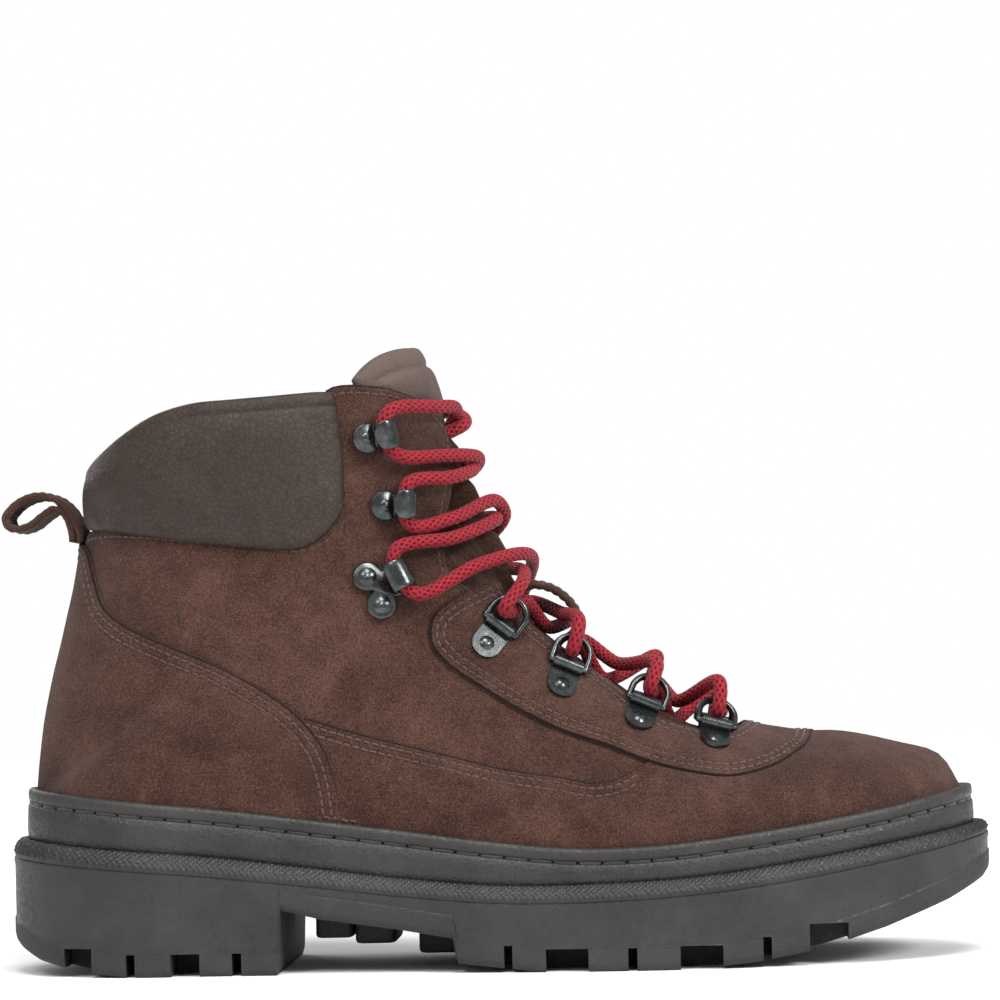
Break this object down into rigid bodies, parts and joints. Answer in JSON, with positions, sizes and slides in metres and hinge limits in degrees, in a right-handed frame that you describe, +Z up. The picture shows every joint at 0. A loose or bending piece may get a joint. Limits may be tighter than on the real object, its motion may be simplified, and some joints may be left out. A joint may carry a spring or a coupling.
{
  "type": "hiking boot",
  "caption": "Lace-up suede hiking boot with padded collar, lugged rubber sole, D-rings, speed and locking hooks, round lace and a heel pull loop.",
  "frame": {"origin": "on the ground, under the middle of the boot's length and width", "axes": "+X towards the toe, +Y towards the inner (medial) side of this right boot, +Z up"},
  "size_m": [0.312, 0.1111, 0.1937],
  "materials": {
    "rubber_sole": "matte, moulded",
    "rubber_welt": "matte, grained",
    "insole_board": "pressed fibre board",
    "shank_steel": "plain spring steel",
    "footbed_foam": "fabric over foam",
    "lining_textile": "woven textile",
    "stiffener_board": "thermoformed sheet",
    "suede": "brushed nap",
    "soft_leather": "fine pebbled grain",
    "lace_braid": "round braid with dark flecks",
    "aglet_film": "clear film over braid",
    "gunmetal": "dark gunmetal plating"
  },
  "bodies": {
    "boot": {"outsole": "rubber_sole", "midsole": "rubber_sole", "welt": "rubber_welt", "insole_board": "insole_board", "shank": "shank_steel", "footbed": "footbed_foam", "lining": "lining_textile", "heel_stiffener": "stiffener_board", "toe_puff": "stiffener_board", "vamp": "suede", "quarter_lateral": "suede", "quarter_medial": "suede", "heel_counter": "suede", "eyestay": "suede", "collar_pad": "soft_leather", "tongue_lower": "suede", "lace_keeper": "suede", "gusset_lateral": "suede", "gusset_medial": "suede", "ring_clip_1_lateral": "gunmetal", "ring_clip_1_medial": "gunmetal", "ring_clip_2_lateral": "gunmetal", "ring_clip_2_medial": "gunmetal", "ring_clip_3_lateral": "gunmetal", "ring_clip_3_medial": "gunmetal", "ring_clip_4_lateral": "gunmetal", "ring_clip_4_medial": "gunmetal", "locking_hook_lateral": "gunmetal", "locking_hook_medial": "gunmetal", "speed_hook_lower_lateral": "gunmetal", "speed_hook_lower_medial": "gunmetal", "speed_hook_upper_lateral": "gunmetal", "speed_hook_upper_medial": "gunmetal", "rivets": "gunmetal", "lace": "lace_braid", "aglets": "aglet_film"},
    "d_ring_1_lateral": {"d_ring_1_lateral": "gunmetal"},
    "d_ring_1_medial": {"d_ring_1_medial": "gunmetal"},
    "d_ring_2_lateral": {"d_ring_2_lateral": "gunmetal"},
    "d_ring_2_medial": {"d_ring_2_medial": "gunmetal"},
    "d_ring_3_lateral": {"d_ring_3_lateral": "gunmetal"},
    "d_ring_3_medial": {"d_ring_3_medial": "gunmetal"},
    "d_ring_4_lateral": {"d_ring_4_lateral": "gunmetal"},
    "d_ring_4_medial": {"d_ring_4_medial": "gunmetal"},
    "tongue_top": {"tongue_upper": "soft_leather"},
    "pull_loop": {"pull_loop": "suede"}
  },
  "joints": [
    {"name": "ring_1_lateral_turn", "type": "hinge", "parent": "boot", "child": "d_ring_1_lateral", "pos_m": [0.06944, -0.02465, 0.07404], "axis": [0.9543, 0.1345, -0.2668], "range_deg": [-3, 3]},
    {"name": "ring_1_medial_turn", "type": "hinge", "parent": "boot", "child": "d_ring_1_medial", "pos_m": [0.0693, 0.02573, 0.07407], "axis": [-0.9725, 0.1069, 0.2069], "range_deg": [-3, 3]},
    {"name": "ring_2_lateral_turn", "type": "hinge", "parent": "boot", "child": "d_ring_2_lateral", "pos_m": [0.04778, -0.02642, 0.08122], "axis": [0.9207, -0.0015, -0.3902], "range_deg": [-3, 3]},
    {"name": "ring_2_medial_turn", "type": "hinge", "parent": "boot", "child": "d_ring_2_medial", "pos_m": [0.04759, 0.02392, 0.08126], "axis": [-0.9456, -0.0524, 0.3211], "range_deg": [-3, 3]},
    {"name": "ring_3_lateral_turn", "type": "hinge", "parent": "boot", "child": "d_ring_3_lateral", "pos_m": [0.02379, -0.02655, 0.09352], "axis": [0.9075, 0.1544, -0.3906], "range_deg": [-3, 3]},
    {"name": "ring_3_medial_turn", "type": "hinge", "parent": "boot", "child": "d_ring_3_medial", "pos_m": [0.02359, 0.02039, 0.09356], "axis": [-0.9395, 0.0853, 0.3317], "range_deg": [-3, 3]},
    {"name": "ring_4_lateral_turn", "type": "hinge", "parent": "boot", "child": "d_ring_4_lateral", "pos_m": [0.00298, -0.02795, 0.10612], "axis": [0.7824, 0.0127, -0.6226], "range_deg": [-3, 3]},
    {"name": "ring_4_medial_turn", "type": "hinge", "parent": "boot", "child": "d_ring_4_medial", "pos_m": [0.00281, 0.0193, 0.10614], "axis": [-0.8017, -0.0471, 0.5959], "range_deg": [-3, 3]},
    {"name": "tongue_fold", "type": "hinge", "parent": "boot", "child": "tongue_top", "pos_m": [-0.001, -0.0022, 0.1275], "axis": [0, -1, 0], "range_deg": [0, 8]},
    {"name": "pull_loop_swing", "type": "hinge", "parent": "boot", "child": "pull_loop", "pos_m": [-0.1315, 0, 0.1375], "axis": [0, 1, 0], "range_deg": [-35, 8]}
  ]
}
